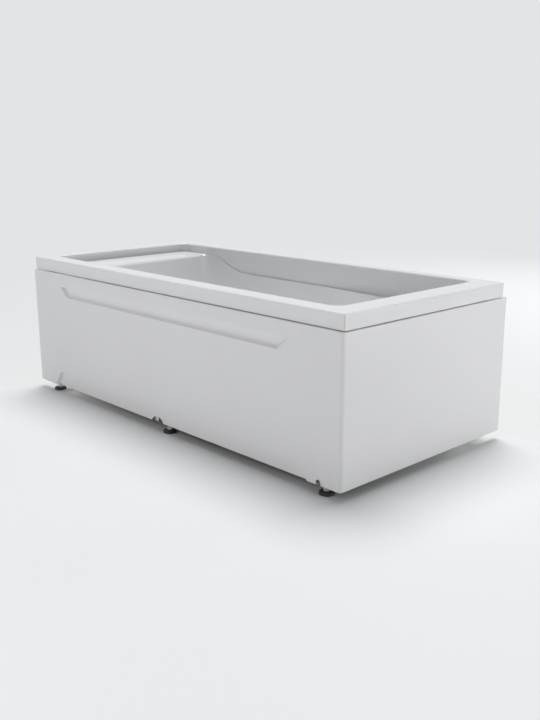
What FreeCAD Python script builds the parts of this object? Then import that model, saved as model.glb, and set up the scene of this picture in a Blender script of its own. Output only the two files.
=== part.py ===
import FreeCAD, Part
import math
import os

# Built-in acrylic bath with a moulded front panel and a plain end panel, on a
# welded steel frame with six screw feet.  Millimetres, +Z up, X along the bath
# (backrest at -X, waste and overflow at +X), front panel facing -Y.  The origin
# lies on the floor under the centre of the overall plan.

# ---- driving dimensions ------------------------------------------------------
RIM_LENGTH = 1700.0          # outer rim, along X
RIM_WIDTH = 780.0            # outer rim, along Y
RIM_TOP = 545.0              # rim above the floor
FASCIA_DEPTH = 48.0          # deep rim edge on the two open sides
WALL_LIP_DEPTH = 32.0        # shallower rim edge on the two wall sides
RIM_EDGE_RADIUS = 5.0        # outer edges and corners of the rim
FASCIA_END_RADIUS = 15.0     # rounded lower ends of the fascia
BASIN_EDGE_RADIUS = 8.0      # roll from the rim into the basin
SKIN = 5.0                   # acrylic and its glass-fibre backing

LEFT_RIM = 54.0              # flat rim width at each side of the basin
RIGHT_RIM = 90.0
FRONT_RIM = 72.0
BACK_RIM = 51.0
BASIN_CORNER_RADIUS = 32.0
UPPER_DRAFT = 3.0            # degrees, walls between rim and armrest
LOWER_DRAFT = 10.0           # degrees, walls below the armrest
FOOT_DRAFT = 9.0             # degrees, end wall at the waste
BACKREST_SLOPE = 27.0        # degrees from upright
SHELF_DROP = 35.0            # shelf at the backrest end, below the rim
SHELF_DEPTH = 148.0          # along X
ARMREST_DROP = 95.0          # armrest line below the rim
SWEEP_START = 60.0           # from the shelf's edge to where the armrest sweeps down
SWEEP_CREST_RADIUS = 150.0   # S-shaped sweep from the shelf down to the armrest
SWEEP_HOLLOW_RADIUS = 374.0
ARMREST_START = 8.0          # armrest ledge at the backrest end
ARMREST_END = 72.0           # armrest ledge at the waste end
ARMREST_KNEE = 620.0         # where the ledge starts to widen, from the waste end
FOOT_LEDGE = 26.0            # ledge across the waste end
INNER_FLOOR = 155.0          # basin floor above the ground, at the waste
FLOOR_FALL = 8.0             # fall of the basin floor toward the waste
FLOOR_RADIUS = 60.0          # wall-to-floor rounding
BASIN_INNER_RADIUS = 75.0    # upright corners of the lower basin, at the waste
BACKREST_CORNER_RADIUS = 35.0  # beside the backrest: at the shelf
BACKREST_MIDDLE_RADIUS = 42.0  # at the armrest line, from where it opens to the floor

PANEL_SKIN = 3.0
PANEL_FRONT_PROUD = 9.0      # front panel stands in front of the fascia
PANEL_END_PROUD = 3.0        # end panel stands outside the fascia
PANEL_BACK_OVERHANG = 14.0   # end panel runs past the back of the rim
PANEL_LEFT_INSET = 1.0       # front panel stops short of the left rim end
PANEL_TOP_GAP = 2.0          # under the fascia
PANEL_BOTTOM = 28.0          # toe gap
PANEL_CORNER_RADIUS = 11.0
PANEL_EDGE_RADIUS = 5.0
PANEL_JOINT = 0.3            # hairline between the two panels
RECESS_SHIFT = -4.0          # groove and toe recess, from the rim's middle

GROOVE_TOP = 44.0            # long recess, below the panel's top edge
GROOVE_HEIGHT = 46.0
GROOVE_DEPTH = 12.0
GROOVE_FROM_ENDS = 202.0     # its top edge stops short of the rim's ends, before the shift
GROOVE_END_SLANT = 48.0      # each end, over the groove's height
GROOVE_SIDE_RUN = 10.0       # width of the sloping end walls
GROOVE_SILL_RUN = 11.0       # height of the sloping sill
GROOVE_HEAD_RUN = 3.0
GROOVE_CORNER_RADIUS = 6.0
TOE_HEIGHT = 61.0            # recess along the bottom edge
TOE_FROM_ENDS = 170.0        # its top edge stops short of the rim's ends, before the shift
TOE_END_SLANT = 46.0
TOE_WALL_RUN = 4.0
TOE_CORNER_RADIUS = 15.0
NOTCH_FROM_MIDDLE = -37.0    # wide notch under the middle bracket
NOTCH_WIDTH = 70.0
NOTCH_HEIGHT = 20.0
ARCH_FROM_RIGHT = 84.0       # narrow arch under the right bracket
ARCH_WIDTH = 20.0
ARCH_HEIGHT = 19.0
END_NOTCH_FROM_LEFT = 142.0  # low notch at the left end of the toe recess
END_NOTCH_WIDTH = 30.0
END_NOTCH_HEIGHT = 7.0

WASTE_FROM_END = 250.0       # waste centre from the basin's end wall at the rim
WASTE_HOLE_RADIUS = 26.0
WASTE_SEAT_RADIUS = 45.0     # level floor round the waste
WASTE_FLANGE_RADIUS = 35.0
WASTE_FLANGE_HEIGHT = 3.0
WASTE_BORE_RADIUS = 21.0
WASTE_TAIL = 26.0            # tail of the flange below the basin floor
RING_THICKNESS = 3.0         # sealing rings
RING_CLEARANCE = 0.3         # round the tail, and under the plug's seal
WASTE_BODY_RADIUS = 30.0
WASTE_BODY_WALL = 3.0
SPOKE_WIDTH = 3.0            # spokes of the waste grid
SPOKE_HEIGHT = 5.0
PLUG_RADIUS = 30.0
PLUG_HEIGHT = 5.0
SEAL_INSET = 1.0             # seals stop inside the edge of what they seal
PLUG_STEM_RADIUS = 4.0
PLUG_STEM_LENGTH = 42.0
STEM_CLEARANCE = 0.3
HUB_WALL = 3.0

TRAP_RADIUS = 45.0
TRAP_BOTTOM = 42.0           # above the ground
TRAP_WALL = 3.0
TRAP_HEIGHT = 54.0
TRAP_BASE_BEVEL = 5.0
DIP_CLEARANCE = 10.0         # under the dip tube
TRAP_NUT_RADIUS = 37.0
TRAP_NUT_HEIGHT = 12.0
OUTLET_RADIUS = 20.0         # 40 mm drain pipe
OUTLET_WALL = 2.0
OUTLET_LENGTH = 280.0        # from the waste axis toward the back
OUTLET_COLLAR_RADIUS = 26.0  # thickened root of the outlet
OUTLET_COLLAR_LENGTH = 22.0

OVERFLOW_DROP = 50.0         # overflow centre below the rim
OVERFLOW_HOLE_RADIUS = 27.0
OVERFLOW_PLATE_RADIUS = 36.0
OVERFLOW_PLATE_THICKNESS = 4.0
PLATE_BEVEL = 1.0
OVERFLOW_TAIL_WALL = 2.5
ELBOW_DEPTH = 34.0           # overflow elbow behind the wall
ELBOW_WALL = 3.0
PIPE_RADIUS = 14.0
PIPE_WALL = 2.0
PIPE_BEND_RADIUS = 45.0
PIPE_SOCKET = 8.0            # pipe's length inside the elbow
PIPE_LIFT = 3.0              # pipe above the cross bars
SLOT_COUNT = 4               # overflow holes in the plate
SLOT_RADIUS = 5.0
SLOT_PITCH_RADIUS = 16.0
SEAL_MIN = 0.5               # thin end of the wedge seals
KNOB_RADIUS = 29.0
KNOB_THICKNESS = 10.0
KNOB_GAP = 5.0               # open ring round the knob's back
KNOB_SHAFT_RADIUS = 6.0
KNOB_GRIP_WIDTH = 8.0
KNOB_GRIP_HEIGHT = 9.0

FRAME_TUBE = 25.0            # square tube
FRAME_WALL = 2.0
POST_TUBE = 20.0
BOARD_THICKNESS = 18.0
RAIL_SPACING = 300.0         # between the two long rails
FOOT_FROM_LEFT = 108.0       # end pairs of feet, from the ends of the rim
FOOT_FROM_RIGHT = 72.0
FOOT_TO_RIM = 16.5           # foot centre inside the rim's long edges
RAIL_TO_END = 27.0           # end rim rails, centre to the ends of the rim
BOARD_MARGIN = 15.0          # base board past the long rails
BOARD_PAST_BACKREST = 20.0   # beyond the foot of the backrest
BOARD_TO_WASTE = 60.0
BRACKET_WIDTH = 20.0
BRACKET_OFFSET = -6.0        # bracket centre from its notch
BRACKET_HEIGHT = 30.0
STRIP = 3.0                  # thickness of bracket and tab steel
TAB_HOOK = 10.0              # tab length under a panel's top edge
STAY_HEIGHT = 30.0           # foot of the end panel's stays
STAY_FROM_POST = 60.0
SCREW_HEAD_RADIUS = 6.0
SCREW_HEAD_HEIGHT = 4.0
SCREW_RADIUS = 3.0
SCREW_LENGTH = 4.5
SCREW_HEIGHT = 9.0           # above the panel's bottom edge

ROD_RADIUS = 6.0
ROD_CLEARANCE = 0.3
ROD_TOP = 150.0
INSERT_LENGTH = 25.0         # threaded plug in the foot of each post
PAD_RADIUS = 24.0
PAD_HEIGHT = 11.0
PAD_BEVEL = 3.0
PAD_SOCKET = 4.0             # depth of the bolt's seat in the pad
NUT_ACROSS_FLATS = 19.0
NUT_HEIGHT = 10.0

# ---- derived places ----------------------------------------------------------
RIM_LEFT = -(RIM_LENGTH + PANEL_END_PROUD) / 2
RIM_RIGHT = RIM_LEFT + RIM_LENGTH
RIM_FRONT = PANEL_FRONT_PROUD - (RIM_WIDTH + PANEL_FRONT_PROUD + PANEL_BACK_OVERHANG) / 2
RIM_BACK = RIM_FRONT + RIM_WIDTH
FASCIA_BOTTOM = RIM_TOP - FASCIA_DEPTH
BASIN_LEFT = RIM_LEFT + LEFT_RIM
BASIN_RIGHT = RIM_RIGHT - RIGHT_RIM
BASIN_FRONT = RIM_FRONT + FRONT_RIM
BASIN_BACK = RIM_BACK - BACK_RIM
BASIN_MID = (BASIN_FRONT + BASIN_BACK) / 2
SHELF_Z = RIM_TOP - SHELF_DROP
ARMREST_Z = RIM_TOP - ARMREST_DROP
SHELF_EDGE = BASIN_LEFT + SHELF_DEPTH
UNDERSIDE = INNER_FLOOR - SKIN
WASTE_X = BASIN_RIGHT - WASTE_FROM_END
OVERFLOW_Z = RIM_TOP - OVERFLOW_DROP
PANEL_FACE = RIM_FRONT - PANEL_FRONT_PROUD
PANEL_END_FACE = RIM_RIGHT + PANEL_END_PROUD
PANEL_LEFT = RIM_LEFT + PANEL_LEFT_INSET
PANEL_BACK = RIM_BACK + PANEL_BACK_OVERHANG
PANEL_TOP = FASCIA_BOTTOM - PANEL_TOP_GAP
PANEL_CORNER_Y = PANEL_FACE + PANEL_CORNER_RADIUS
RIM_MIDDLE = (RIM_LEFT + RIM_RIGHT) / 2
NOTCH_X = RIM_MIDDLE + NOTCH_FROM_MIDDLE
ARCH_X = RIM_RIGHT - ARCH_FROM_RIGHT
END_NOTCH_X = RIM_LEFT + END_NOTCH_FROM_LEFT
PANEL_DEPTH = GROOVE_DEPTH + PANEL_SKIN
PANEL_INSIDE = PANEL_FACE + PANEL_DEPTH
RAIL_TOP = UNDERSIDE - BOARD_THICKNESS
BAR_TOP = RAIL_TOP - FRAME_TUBE
BAR_BOTTOM = BAR_TOP - FRAME_TUBE
FOOT_LEFT = RIM_LEFT + FOOT_FROM_LEFT
FOOT_RIGHT = RIM_RIGHT - FOOT_FROM_RIGHT
FOOT_X = [FOOT_LEFT, (FOOT_LEFT + FOOT_RIGHT) / 2, FOOT_RIGHT]
FOOT_Y = [RIM_FRONT + FOOT_TO_RIM, RIM_BACK - FOOT_TO_RIM]
RIM_RAIL_BOTTOM = RIM_TOP - SKIN - POST_TUBE
BODY_TOP = UNDERSIDE - RING_THICKNESS
TAIL_RADIUS = WASTE_HOLE_RADIUS - RING_CLEARANCE
OUTLET_Z = TRAP_BOTTOM + TRAP_HEIGHT / 2
PIPE_Z = BAR_TOP + PIPE_LIFT + PIPE_RADIUS
PLATE_BACK = (BASIN_RIGHT - SEAL_MIN
              - (OVERFLOW_DROP + OVERFLOW_PLATE_RADIUS) * math.tan(math.radians(UPPER_DRAFT)))
ELBOW_FACE = BASIN_RIGHT + SKIN + RING_THICKNESS
PIPE_X = ELBOW_FACE + ELBOW_DEPTH / 2


# ---- small helpers -----------------------------------------------------------
def vec(x, y, z):
    return FreeCAD.Vector(x, y, z)


def block(x0, x1, y0, y1, z0, z1):
    """Box between two opposite corners."""
    return Part.makeBox(x1 - x0, y1 - y0, z1 - z0, vec(x0, y0, z0))


def upright(x, y, z0, z1, radius):
    """Upright cylinder."""
    return Part.makeCylinder(radius, z1 - z0, vec(x, y, z0))


def bevel_leg(radius, turn):
    """Leg of the bevel that just clears a rounding, where two faces turn by that angle."""
    return radius * math.tan(turn / 4) / math.cos(turn / 2)


def tapered_solid(low, high, radii, bevelled):
    """Solid between two level polygons with planar sides, each rising edge rounded or bevelled."""
    count = len(low)
    faces = [Part.Face(Part.makePolygon(low[::-1] + [low[-1]])),
             Part.Face(Part.makePolygon(high + [high[0]]))]
    for index in range(count):
        after = (index + 1) % count
        side = [low[index], low[after], high[after], high[index], low[index]]
        faces.append(Part.Face(Part.makePolygon(side)))
    solid = Part.makeSolid(Part.makeShell(faces))
    for index, (low_radius, high_radius) in enumerate(radii):
        foot = low[index]
        head = high[index]
        rising = edges_where(solid, lambda p: p.distanceToLine(foot, head - foot) < 0.01)
        if bevelled:
            turn = (foot - low[index - 1]).getAngle(low[(index + 1) % count] - foot)
            solid = solid.makeChamfer(bevel_leg(high_radius, turn), rising)
        elif low_radius == high_radius:
            solid = solid.makeFillet(low_radius, rising)
        elif rising[0].firstVertex(True).Z < rising[0].lastVertex(True).Z:
            solid = solid.makeFillet(low_radius, high_radius, rising)
        else:
            solid = solid.makeFillet(high_radius, low_radius, rising)
    return solid


def edges_where(shape, test):
    """Edges whose every sampled point passes the test."""
    whole = [edge for edge in shape.Edges if not edge.Degenerated]
    return [edge for edge in whole if all(test(point) for point in edge.discretize(5))]


def square_tube(start, end, size, wall):
    """Hollow square tube along X, Y or Z between two centre points."""
    half = size / 2
    run = end - start
    axis = run.normalize()
    across = vec(1 - abs(axis.x), 1 - abs(axis.y), 1 - abs(axis.z))
    low = start - across * half
    high = end + across * half
    bore_low = low + across * wall
    bore_high = high - across * wall
    outer = block(low.x, high.x, low.y, high.y, low.z, high.z)
    bore = block(bore_low.x, bore_high.x, bore_low.y, bore_high.y, bore_low.z, bore_high.z)
    return outer.cut(bore)


def hexagon(x, y, z0, z1, across_flats):
    """Upright hexagonal prism."""
    radius = across_flats / math.sqrt(3)
    points = [vec(x + radius * math.cos(math.radians(60 * k)),
                  y + radius * math.sin(math.radians(60 * k)), z0) for k in range(7)]
    return Part.Face(Part.makePolygon(points)).extrude(vec(0, 0, z1 - z0))


# ---- basin -------------------------------------------------------------------
def drop_inset(drop, draft):
    """How far a drafted wall comes in over a drop."""
    return drop * math.tan(math.radians(draft))


def drafted_block(x0, x1, y0, y1, z0, z1, corner, draft):
    """Block given at its top, drafted alike all round, with conical upright corners."""
    inset = drop_inset(z1 - z0, draft)
    edge_x = [x0 + corner, x1 - corner]
    edge_y = [y0 + corner, y1 - corner]
    along_x = [vec(x0 + inset, edge_y[0], z0), vec(x1 - inset, edge_y[0], z0),
               vec(x1, edge_y[0], z1), vec(x0, edge_y[0], z1)]
    along_y = [vec(edge_x[0], y0 + inset, z0), vec(edge_x[0], y1 - inset, z0),
               vec(edge_x[0], y1, z1), vec(edge_x[0], y0, z1)]
    solid = Part.Face(Part.makePolygon(along_x + along_x[:1])).extrude(vec(0, edge_y[1] - edge_y[0], 0))
    solid = solid.fuse(Part.Face(Part.makePolygon(along_y + along_y[:1])).extrude(vec(edge_x[1] - edge_x[0], 0, 0)))
    cones = [Part.makeCone(corner - inset, corner, z1 - z0, vec(x, y, z0)) for x in edge_x for y in edge_y]
    return solid.multiFuse(cones).removeSplitter()


def upper_basin(grow, top):
    """Space between the rim and the armrest line, swept up to the shelf at -X."""
    widen = grow + drop_inset(top - RIM_TOP, UPPER_DRAFT)
    walls = drafted_block(BASIN_LEFT - widen, BASIN_RIGHT + widen, BASIN_FRONT - widen, BASIN_BACK + widen,
                          ARMREST_Z - grow, top, BASIN_CORNER_RADIUS + widen, UPPER_DRAFT)

    crest = SWEEP_CREST_RADIUS
    hollow = SWEEP_HOLLOW_RADIUS
    turn = math.acos(1 - (SHELF_Z - ARMREST_Z) / (crest + hollow))
    shelf_z = SHELF_Z - grow
    armrest_z = ARMREST_Z - grow
    y = RIM_FRONT
    start_x = SHELF_EDGE + SWEEP_START
    joint_x = start_x + crest * math.sin(turn)
    end_x = joint_x + hollow * math.sin(turn)
    half_sin = math.sin(turn / 2)
    half_drop = 1 - math.cos(turn / 2)
    far_left = vec(RIM_LEFT, y, shelf_z)
    start = vec(start_x, y, shelf_z)
    crest_middle = vec(start_x + crest * half_sin, y, shelf_z - crest * half_drop)
    joint = vec(joint_x, y, shelf_z - crest * (1 - math.cos(turn)))
    hollow_middle = vec(end_x - hollow * half_sin, y, armrest_z + hollow * half_drop)
    end = vec(end_x, y, armrest_z)
    far_right = vec(RIM_RIGHT, y, armrest_z)
    edges = [Part.makeLine(far_left, start),
             Part.Arc(start, crest_middle, joint).toShape(),
             Part.Arc(joint, hollow_middle, end).toShape(),
             Part.makeLine(end, far_right),
             Part.makeLine(far_right, vec(RIM_RIGHT, y, 0)),
             Part.makeLine(vec(RIM_RIGHT, y, 0), vec(RIM_LEFT, y, 0)),
             Part.makeLine(vec(RIM_LEFT, y, 0), far_left)]
    below_sweep = Part.Face(Part.Wire(edges)).extrude(vec(0, RIM_WIDTH, 0))
    return walls.cut(below_sweep)


def lower_corners(z, grow):
    """Level corner points of the lower basin: wide at the shoulders, narrow at the feet."""
    above = max(0.0, z - ARMREST_Z)
    below = max(0.0, ARMREST_Z - z)
    side = drop_inset(ARMREST_DROP, UPPER_DRAFT) + ARMREST_START - grow + drop_inset(ARMREST_Z - z, LOWER_DRAFT)
    left = SHELF_EDGE + drop_inset(SHELF_Z - z, BACKREST_SLOPE) - grow
    right_at_armrest = BASIN_RIGHT - drop_inset(ARMREST_DROP, UPPER_DRAFT) - FOOT_LEDGE
    right = right_at_armrest + grow + drop_inset(above, UPPER_DRAFT) - drop_inset(below, FOOT_DRAFT)
    knee = BASIN_RIGHT - ARMREST_KNEE
    taper = (ARMREST_END - ARMREST_START) * (right - knee) / (right_at_armrest - knee)
    front = BASIN_FRONT + side
    back = BASIN_BACK - side
    return [vec(left, front, z), vec(knee, front, z), vec(right, front + taper, z),
            vec(right, back - taper, z), vec(knee, back, z), vec(left, back, z)]


def lower_basin(grow, floor_z, fall):
    """Tapering well under the armrest: rolled corners inside, bevelled ones when enlarged."""
    corner = (BASIN_INNER_RADIUS + grow, BASIN_INNER_RADIUS + grow)
    knee = (ARMREST_KNEE, ARMREST_KNEE)
    shelf_corner = (BACKREST_MIDDLE_RADIUS + grow, BACKREST_CORNER_RADIUS + grow)
    well_corner = (BASIN_INNER_RADIUS + grow, BACKREST_MIDDLE_RADIUS + grow)
    bevelled = grow > 0
    shoulders = tapered_solid(lower_corners(ARMREST_Z, grow), lower_corners(SHELF_Z, grow),
                              [shelf_corner, knee, corner, corner, knee, shelf_corner], bevelled)
    well = tapered_solid(lower_corners(floor_z, grow), lower_corners(ARMREST_Z, grow),
                         [well_corner, knee, corner, corner, knee, well_corner], bevelled)
    heel_x = WASTE_X - WASTE_SEAT_RADIUS
    heel = vec(heel_x, RIM_FRONT, floor_z)
    head = vec(RIM_LEFT, RIM_FRONT, floor_z + fall * (heel_x - RIM_LEFT) / (heel_x - SHELF_EDGE))
    slope = Part.Face(Part.makePolygon([heel, head, vec(head.x, head.y, 0), vec(heel.x, heel.y, 0), heel]))
    if fall:
        well = well.cut(slope.extrude(vec(0, RIM_WIDTH, 0)))
    floor_edges = edges_where(well, lambda p: p.z < floor_z + fall + 1)
    if bevelled:
        least_turn = math.radians(90 - BACKREST_SLOPE)
        well = well.makeChamfer(bevel_leg(FLOOR_RADIUS + grow, least_turn), floor_edges)
    else:
        well = well.makeFillet(FLOOR_RADIUS, floor_edges)
    return shoulders.fuse(well)


def basin(grow, top, fall):
    """Solid space of the basin, enlarged all round by grow."""
    return upper_basin(grow, top).fuse(lower_basin(grow, INNER_FLOOR - grow, fall)).removeSplitter()


# ---- bath shell --------------------------------------------------------------
def rim_shell():
    """Rim plate with its turned-down edges: deep in front and at +X, shallow at the walls."""
    outer = block(RIM_LEFT, RIM_RIGHT, RIM_FRONT, RIM_BACK, FASCIA_BOTTOM, RIM_TOP)
    upper_edges = [edge for edge in outer.Edges if edge.CenterOfMass.z > FASCIA_BOTTOM + 1]
    outer = outer.makeFillet(RIM_EDGE_RADIUS, upper_edges)
    hollow = block(RIM_LEFT + SKIN, RIM_RIGHT - SKIN, RIM_FRONT + SKIN, RIM_BACK - SKIN,
                   FASCIA_BOTTOM - 1, RIM_TOP - SKIN)
    rim = outer.cut(hollow)
    lip_bottom = RIM_TOP - WALL_LIP_DEPTH
    wall_sides = block(RIM_LEFT - 1, RIM_LEFT + SKIN, RIM_FRONT + SKIN, RIM_BACK + 1, 0, lip_bottom)
    wall_sides = wall_sides.fuse(block(RIM_LEFT - 1, RIM_RIGHT - SKIN, RIM_BACK - SKIN, RIM_BACK + 1,
                                       0, lip_bottom))
    rim = rim.cut(wall_sides)
    rim = rim.cut(fascia_end(vec(RIM_LEFT, RIM_FRONT - 1, FASCIA_BOTTOM), vec(1, 0, 0), vec(0, SKIN + 2, 0)))
    return rim.cut(fascia_end(vec(RIM_RIGHT + 1, RIM_BACK, FASCIA_BOTTOM), vec(0, -1, 0), vec(-SKIN - 2, 0, 0)))


def fascia_end(corner, along, through):
    """Cutter that rounds a lower end of the fascia, from its bottom corner inward."""
    radius = FASCIA_END_RADIUS
    up = vec(0, 0, 1)
    centre = corner + along * radius + up * radius
    diagonal = (along + up) * (radius / math.sqrt(2))
    low = corner - (along + up)
    high = corner + up * radius
    far = corner + along * radius
    arc = Part.Arc(high, centre - diagonal, far).toShape()
    edges = [arc, Part.makeLine(far, far - up), Part.makeLine(far - up, low),
             Part.makeLine(low, high - along), Part.makeLine(high - along, high)]
    return Part.Face(Part.Wire(edges)).extrude(through)


def tub_shell():
    """Acrylic bath: rim, skirts and basin in one skin, with its waste and overflow holes."""
    body = rim_shell().fuse(basin(SKIN, RIM_TOP - SKIN, 0))
    body = body.cut(basin(0, RIM_TOP + 1, FLOOR_FALL))
    roll = edges_where(body, on_basin_edge)
    body = body.makeFillet(BASIN_EDGE_RADIUS, roll)
    waste_hole = upright(WASTE_X, BASIN_MID, 0, RIM_TOP, WASTE_HOLE_RADIUS)
    overflow_hole = Part.makeCylinder(OVERFLOW_HOLE_RADIUS, RIGHT_RIM,
                                      vec(BASIN_RIGHT - RIGHT_RIM / 2, BASIN_MID, OVERFLOW_Z), vec(1, 0, 0))
    return body.cut(waste_hole).cut(overflow_hole)


def on_basin_edge(point):
    """True on the basin's upper edge, well inside the rim's outer edge."""
    inside_x = RIM_LEFT + LEFT_RIM / 2 < point.x < RIM_RIGHT - RIGHT_RIM / 2
    inside_y = RIM_FRONT + BACK_RIM / 2 < point.y < RIM_BACK - BACK_RIM / 2
    return abs(point.z - RIM_TOP) < 0.01 and inside_x and inside_y


# ---- panels ------------------------------------------------------------------
def panel_form(inset):
    """Closed form of both panels together, inset from their outer faces."""
    x0 = PANEL_LEFT + inset
    x1 = PANEL_END_FACE - inset
    y0 = PANEL_FACE + inset
    y1 = PANEL_BACK - inset
    form = block(x0, x1, y0, y1, PANEL_BOTTOM + inset, PANEL_TOP - inset)
    corner = edges_where(form, lambda p: abs(p.x - x1) + abs(p.y - y0) < 0.01)
    form = form.makeFillet(PANEL_CORNER_RADIUS - inset, corner)
    level = [edge for edge in form.Edges if edge.BoundBox.ZLength < 0.01 and edge.BoundBox.YMin < y1 - 1]
    left = edges_where(form, lambda p: abs(p.x - x0) + abs(p.y - y0) < 0.01)
    return form.makeFillet(PANEL_EDGE_RADIUS - inset, level + left)


def trapezoid(x_mid, half_top, half_bottom, z_top, z_bottom, y):
    """Closed upright wire facing -Y."""
    points = [vec(x_mid - half_bottom, y, z_bottom), vec(x_mid + half_bottom, y, z_bottom),
              vec(x_mid + half_top, y, z_top), vec(x_mid - half_top, y, z_top)]
    return Part.makePolygon(points + points[:1])


def recess(half_top, spread, z_top, z_bottom, runs, radius, grow):
    """Form of a sunk trapezoid with sloping walls and rounded corners, enlarged by grow.

    spread is how much further each end reaches at the bottom; runs are how far the
    end, head and sill walls come in over the depth.
    """
    end_run, head_run, sill_run = runs
    depth = GROOVE_DEPTH + grow
    wires = []
    for side in (-1, 1):
        half = half_top + grow - side * end_run
        wires.append(trapezoid(RIM_MIDDLE + RECESS_SHIFT, half, half + spread,
                               z_top + grow - side * head_run, z_bottom - grow + side * sill_run,
                               PANEL_FACE + side * depth))
    form = Part.makeLoft(wires, True, True)
    rising = [edge for edge in form.Edges if edge.BoundBox.YLength > depth]
    return form.makeFillet(radius + grow, rising)


def groove_form(grow):
    """Long groove under the panel's top edge."""
    z_top = PANEL_TOP - GROOVE_TOP
    return recess(RIM_LENGTH / 2 - GROOVE_FROM_ENDS, -GROOVE_END_SLANT, z_top, z_top - GROOVE_HEIGHT,
                  (GROOVE_SIDE_RUN, GROOVE_HEAD_RUN, GROOVE_SILL_RUN), GROOVE_CORNER_RADIUS, grow)


def toe_form(grow):
    """Toe recess, running out through the panel's bottom edge."""
    z_top = PANEL_BOTTOM + TOE_HEIGHT
    return recess(RIM_LENGTH / 2 - TOE_FROM_ENDS, 2 * TOE_END_SLANT, z_top, z_top - 2 * TOE_HEIGHT,
                  (TOE_WALL_RUN, TOE_WALL_RUN, 0), TOE_CORNER_RADIUS, grow)


def notch(x, width, height):
    """Cutter for a round-topped notch in the panel's bottom edge."""
    half = width / 2
    rise = min(height, half)
    radius = (half ** 2 + rise ** 2) / (2 * rise)
    centre_z = PANEL_BOTTOM + height - radius
    arch = Part.makeCylinder(radius, PANEL_DEPTH + 2, vec(x, PANEL_FACE - 1, centre_z), vec(0, 1, 0))
    return arch.fuse(block(x - half, x + half, PANEL_FACE - 1, PANEL_INSIDE + 1, centre_z - radius, centre_z))


def front_panel():
    """Moulded sheet with turned-in edges, long groove, toe recess and notches."""
    hollow = panel_form(PANEL_SKIN).cut(groove_form(PANEL_SKIN)).cut(toe_form(PANEL_SKIN))
    sheet = panel_form(0).cut(groove_form(0)).cut(toe_form(0)).cut(hollow)
    keep = block(PANEL_LEFT - 1, PANEL_END_FACE - PANEL_DEPTH, PANEL_FACE - 1, PANEL_INSIDE, 0, RIM_TOP)
    wrap = block(PANEL_END_FACE - PANEL_DEPTH, PANEL_END_FACE + 1, PANEL_FACE - 1, PANEL_CORNER_Y, 0, RIM_TOP)
    sheet = sheet.common(keep.fuse(wrap).removeSplitter())
    notches = [notch(NOTCH_X, NOTCH_WIDTH, NOTCH_HEIGHT), notch(ARCH_X, ARCH_WIDTH, ARCH_HEIGHT),
               notch(END_NOTCH_X, END_NOTCH_WIDTH, END_NOTCH_HEIGHT)]
    return sheet.cut(notches[0].multiFuse(notches[1:]))


def end_panel():
    """Plain sheet with turned-in edges on the bath's open end."""
    keep = block(PANEL_END_FACE - PANEL_DEPTH, PANEL_END_FACE + 1,
                 PANEL_CORNER_Y + PANEL_JOINT, PANEL_BACK + 1, 0, RIM_TOP)
    return panel_form(0).cut(panel_form(PANEL_SKIN)).common(keep)


# ---- frame -------------------------------------------------------------------
def at_feet(make):
    """One compound with a piece made at each foot."""
    return Part.makeCompound([make(x, y) for x in FOOT_X for y in FOOT_Y])


def post(x, y):
    """Upright tube from the foot to the rim rails."""
    return square_tube(vec(x, y, BAR_BOTTOM), vec(x, y, RIM_RAIL_BOTTOM), POST_TUBE, FRAME_WALL)


def cross_bars():
    """Tubes along Y that tie the posts in pairs."""
    y0 = FOOT_Y[0] + POST_TUBE / 2
    y1 = FOOT_Y[1] - POST_TUBE / 2
    z = (BAR_TOP + BAR_BOTTOM) / 2
    return Part.makeCompound([square_tube(vec(x, y0, z), vec(x, y1, z), FRAME_TUBE, FRAME_WALL) for x in FOOT_X])


def long_rails():
    """Two tubes along X, on the cross bars and under the base board."""
    x0 = FOOT_X[0] - FRAME_TUBE / 2
    x1 = FOOT_X[2] + FRAME_TUBE / 2
    z = (RAIL_TOP + BAR_TOP) / 2
    places = [BASIN_MID - RAIL_SPACING / 2, BASIN_MID + RAIL_SPACING / 2]
    return Part.makeCompound([square_tube(vec(x0, y, z), vec(x1, y, z), FRAME_TUBE, FRAME_WALL) for y in places])


def side_rails():
    """Tubes along X between neighbouring posts: low in front, above the drain pipe at the back."""
    half = POST_TUBE / 2
    rails = []
    for y, bottom in zip(FOOT_Y, (BAR_BOTTOM, BAR_TOP)):
        z = bottom + half
        for x0, x1 in zip(FOOT_X, FOOT_X[1:]):
            rails.append(square_tube(vec(x0 + half, y, z), vec(x1 - half, y, z), POST_TUBE, FRAME_WALL))
    return Part.makeCompound(rails)


def rim_rails():
    """Tubes under the rim: two along X on the posts, two across the ends."""
    half = POST_TUBE / 2
    z = RIM_RAIL_BOTTOM + half
    x0 = RIM_LEFT + RAIL_TO_END
    x1 = RIM_RIGHT - RAIL_TO_END
    rails = [square_tube(vec(x0 - half, y, z), vec(x1 + half, y, z), POST_TUBE, FRAME_WALL) for y in FOOT_Y]
    for x in (x0, x1):
        rails.append(square_tube(vec(x, FOOT_Y[0] + half, z), vec(x, FOOT_Y[1] - half, z), POST_TUBE, FRAME_WALL))
    return Part.makeCompound(rails)


def base_board():
    """Board under the basin floor, stopping short of the waste."""
    x0 = SHELF_EDGE + drop_inset(SHELF_Z - INNER_FLOOR, BACKREST_SLOPE) - BOARD_PAST_BACKREST
    x1 = WASTE_X - BOARD_TO_WASTE
    half = (RAIL_SPACING + FRAME_TUBE) / 2 + BOARD_MARGIN
    return block(x0, x1, BASIN_MID - half, BASIN_MID + half, RAIL_TOP, UNDERSIDE)


def strip_along_y(profile, y, width):
    """Bent strip: closed (x, z) profile, centred on y."""
    points = [vec(x, y - width / 2, z) for x, z in profile]
    return Part.Face(Part.makePolygon(points + points[:1])).extrude(vec(0, width, 0))


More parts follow.
